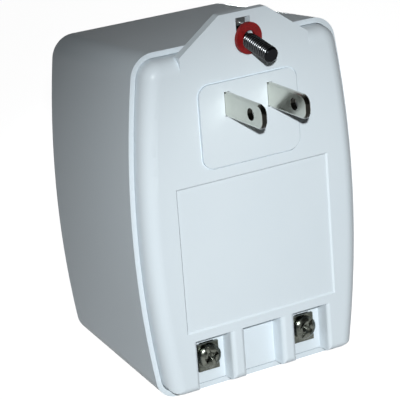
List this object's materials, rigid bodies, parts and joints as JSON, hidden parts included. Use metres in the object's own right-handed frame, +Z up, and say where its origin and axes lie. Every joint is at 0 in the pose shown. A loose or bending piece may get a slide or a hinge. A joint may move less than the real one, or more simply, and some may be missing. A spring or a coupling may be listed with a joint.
{
  "type": "plug-in transformer",
  "caption": "Plug-in mains transformer: bow-sided plastic case with flat blades, a slotted mounting tab with its screw, and screw terminals in open bays at its foot.",
  "frame": {"origin": "on the cover's front face, midway between the blades", "axes": "+X to the right as seen from the front, -Y out of the front along the blades, +Z up"},
  "size_m": [0.067, 0.0715, 0.0995],
  "materials": {
    "housing_white": "cool white moulded plastic with a satin sheen",
    "blade_nickel": "bright nickel plate, drawn along its length, with blackened tips",
    "screw_black": "black oxide with an oily gloss",
    "washer_red": "pressed red fibre",
    "terminal_zinc": "darkened zinc plate",
    "core_steel": "varnished sheet steel",
    "bobbin_nylon": "natural nylon",
    "winding_copper": "enamelled copper wire",
    "tape_yellow": "polyester tape",
    "fuse_aluminium": "plain aluminium can",
    "lead_black": "vinyl wire cover"
  },
  "bodies": {
    "housing": {"rear_case": "housing_white", "front_cover": "housing_white", "blade_left": "blade_nickel", "blade_right": "blade_nickel", "terminal_plate_left": "terminal_zinc", "terminal_plate_right": "terminal_zinc", "core_e_stack": "core_steel", "core_i_stack": "core_steel", "bobbin": "bobbin_nylon", "primary_winding": "winding_copper", "secondary_winding": "winding_copper", "primary_tape": "tape_yellow", "secondary_tape": "tape_yellow", "thermal_fuse": "fuse_aluminium", "primary_lead_left": "lead_black", "primary_lead_right": "lead_black", "secondary_lead_left": "lead_black", "secondary_lead_right": "lead_black"},
    "washer": {"fibre_washer": "washer_red"},
    "screw": {"mounting_screw": "screw_black"},
    "left_clamp": {"terminal_screw_left": "terminal_zinc"},
    "right_clamp": {"terminal_screw_right": "terminal_zinc"}
  },
  "joints": [
    {"name": "washer_slide", "type": "slide", "parent": "housing", "child": "washer", "axis": [0, 0, 1], "range_m": [0, 0.002]},
    {"name": "screw_turn", "type": "hinge", "parent": "washer", "child": "screw", "pos_m": [0.0003, 0, 0.0159], "axis": [0, -0.9816, -0.1908], "continuous": true},
    {"name": "left_clamp_turn", "type": "hinge", "parent": "housing", "child": "left_clamp", "pos_m": [-0.0148, 0.0042, -0.0676], "axis": [0, -1, 0], "continuous": true},
    {"name": "right_clamp_turn", "type": "hinge", "parent": "housing", "child": "right_clamp", "pos_m": [0.0148, 0.0042, -0.0676], "axis": [0, -1, 0], "continuous": true}
  ]
}
